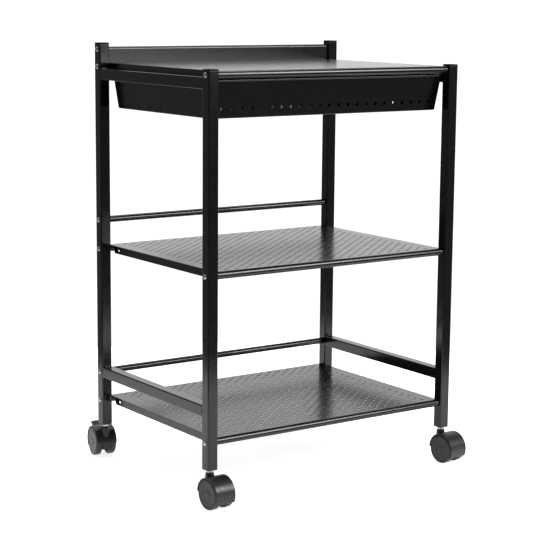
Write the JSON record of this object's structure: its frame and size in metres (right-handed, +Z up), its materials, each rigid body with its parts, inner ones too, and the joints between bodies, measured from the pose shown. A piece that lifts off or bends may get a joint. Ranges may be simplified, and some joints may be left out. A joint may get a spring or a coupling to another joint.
{
  "type": "mobile printer stand",
  "caption": "Mobile printer stand: square tube frame on twin-wheel casters, flanged shelves with perforated lower decks, rear guard and pull-out drawer under the top.",
  "frame": {"origin": "on the floor under the middle of the stand", "axes": "+Z up, -Y towards the front where the drawer pulls out, +X to the right seen from the front"},
  "size_m": [0.5313, 0.4393, 0.7315],
  "materials": {
    "coated_tube": "black powder coat on square and round steel tube, semi-gloss",
    "coated_sheet": "black powder coat on sheet steel, semi-gloss",
    "steel": "black oxide screws, plain steel stems and axles",
    "wheel_plastic": "moulded black nylon",
    "hood_plastic": "moulded black nylon, satin",
    "lever_plastic": "moulded black nylon",
    "cap_plastic": "moulded black plastic end cap"
  },
  "bodies": {
    "frame": {"bottom_shelf": "coated_sheet", "front_left_cap": "cap_plastic", "front_left_caster_socket": "cap_plastic", "front_left_post": "coated_tube", "front_right_cap": "cap_plastic", "front_right_caster_socket": "cap_plastic", "front_right_post": "coated_tube", "guard_inserts": "steel", "guard_screws": "steel", "left_bottom_rail": "coated_tube", "left_drawer_runner": "coated_sheet", "left_top_rail": "coated_tube", "middle_shelf": "coated_sheet", "rear_bottom_tube": "coated_tube", "rear_guard": "coated_sheet", "rear_left_cap": "cap_plastic", "rear_left_caster_socket": "cap_plastic", "rear_left_post": "coated_tube", "rear_middle_tube": "coated_tube", "rear_right_cap": "cap_plastic", "rear_right_caster_socket": "cap_plastic", "rear_right_post": "coated_tube", "rear_tube_inserts": "steel", "rear_tube_screws": "steel", "right_bottom_rail": "coated_tube", "right_drawer_runner": "coated_sheet", "right_top_rail": "coated_tube", "runner_screws": "steel", "shelf_inserts": "steel", "shelf_screws": "steel", "top_shelf": "coated_sheet"},
    "drawer": {"drawer_tray": "coated_sheet"},
    "front_left_caster": {"front_left_caster_housing": "hood_plastic", "front_left_caster_stem": "steel", "front_left_caster_axle": "steel"},
    "front_left_caster_left_wheel": {"front_left_caster_left_wheel": "wheel_plastic"},
    "front_left_caster_right_wheel": {"front_left_caster_right_wheel": "wheel_plastic"},
    "front_right_caster": {"front_right_caster_housing": "hood_plastic", "front_right_caster_stem": "steel", "front_right_caster_axle": "steel"},
    "front_right_caster_left_wheel": {"front_right_caster_left_wheel": "wheel_plastic"},
    "front_right_caster_right_wheel": {"front_right_caster_right_wheel": "wheel_plastic"},
    "rear_left_caster": {"rear_left_caster_housing": "hood_plastic", "rear_left_caster_stem": "steel", "rear_left_caster_axle": "steel", "rear_left_caster_brake_pin": "steel"},
    "rear_left_caster_left_wheel": {"rear_left_caster_left_wheel": "wheel_plastic"},
    "rear_left_caster_right_wheel": {"rear_left_caster_right_wheel": "wheel_plastic"},
    "rear_left_caster_brake": {"rear_left_caster_brake_lever": "lever_plastic"},
    "rear_right_caster": {"rear_right_caster_housing": "hood_plastic", "rear_right_caster_stem": "steel", "rear_right_caster_axle": "steel", "rear_right_caster_brake_pin": "steel"},
    "rear_right_caster_left_wheel": {"rear_right_caster_left_wheel": "wheel_plastic"},
    "rear_right_caster_right_wheel": {"rear_right_caster_right_wheel": "wheel_plastic"},
    "rear_right_caster_brake": {"rear_right_caster_brake_lever": "lever_plastic"}
  },
  "joints": [
    {"name": "drawer_slide", "type": "slide", "parent": "frame", "child": "drawer", "axis": [0, -1, 0], "range_m": [0, 0.22]},
    {"name": "front_left_swivel", "type": "hinge", "parent": "frame", "child": "front_left_caster", "pos_m": [-0.2445, -0.1715, 0.06], "axis": [0, 0, 1], "continuous": true},
    {"name": "front_left_left_wheel_spin", "type": "hinge", "parent": "front_left_caster", "child": "front_left_caster_left_wheel", "pos_m": [-0.24356, -0.18948, 0.025], "axis": [-0.9986, -0.0523, 0], "continuous": true},
    {"name": "front_left_right_wheel_spin", "type": "hinge", "parent": "front_left_caster", "child": "front_left_caster_right_wheel", "pos_m": [-0.24356, -0.18948, 0.025], "axis": [-0.9986, -0.0523, 0], "continuous": true},
    {"name": "front_right_swivel", "type": "hinge", "parent": "frame", "child": "front_right_caster", "pos_m": [0.2445, -0.1715, 0.06], "axis": [0, 0, 1], "continuous": true},
    {"name": "front_right_left_wheel_spin", "type": "hinge", "parent": "front_right_caster", "child": "front_right_caster_left_wheel", "pos_m": [0.24607, -0.18943, 0.025], "axis": [-0.9962, -0.0872, 0], "continuous": true},
    {"name": "front_right_right_wheel_spin", "type": "hinge", "parent": "front_right_caster", "child": "front_right_caster_right_wheel", "pos_m": [0.24607, -0.18943, 0.025], "axis": [-0.9962, -0.0872, 0], "continuous": true},
    {"name": "rear_left_swivel", "type": "hinge", "parent": "frame", "child": "rear_left_caster", "pos_m": [-0.2445, 0.1715, 0.06], "axis": [0, 0, 1], "continuous": true},
    {"name": "rear_left_left_wheel_spin", "type": "hinge", "parent": "rear_left_caster", "child": "rear_left_caster_left_wheel", "pos_m": [-0.24137, 0.18923, 0.025], "axis": [0.9848, -0.1736, 0], "continuous": true},
    {"name": "rear_left_right_wheel_spin", "type": "hinge", "parent": "rear_left_caster", "child": "rear_left_caster_right_wheel", "pos_m": [-0.24137, 0.18923, 0.025], "axis": [0.9848, -0.1736, 0], "continuous": true},
    {"name": "rear_left_brake", "type": "hinge", "parent": "rear_left_caster", "child": "rear_left_caster_brake", "pos_m": [-0.23987, 0.19778, 0.04133], "axis": [0.9848, -0.1736, 0], "range_deg": [-12, 0]},
    {"name": "rear_right_swivel", "type": "hinge", "parent": "frame", "child": "rear_right_caster", "pos_m": [0.2445, 0.1715, 0.06], "axis": [0, 0, 1], "continuous": true},
    {"name": "rear_right_left_wheel_spin", "type": "hinge", "parent": "rear_right_caster", "child": "rear_right_caster_left_wheel", "pos_m": [0.24262, 0.1894, 0.025], "axis": [0.9945, 0.1045, 0], "continuous": true},
    {"name": "rear_right_right_wheel_spin", "type": "hinge", "parent": "rear_right_caster", "child": "rear_right_caster_right_wheel", "pos_m": [0.24262, 0.1894, 0.025], "axis": [0.9945, 0.1045, 0], "continuous": true},
    {"name": "rear_right_brake", "type": "hinge", "parent": "rear_right_caster", "child": "rear_right_caster_brake", "pos_m": [0.24171, 0.19804, 0.04133], "axis": [0.9945, 0.1045, 0], "range_deg": [-12, 0]}
  ]
}
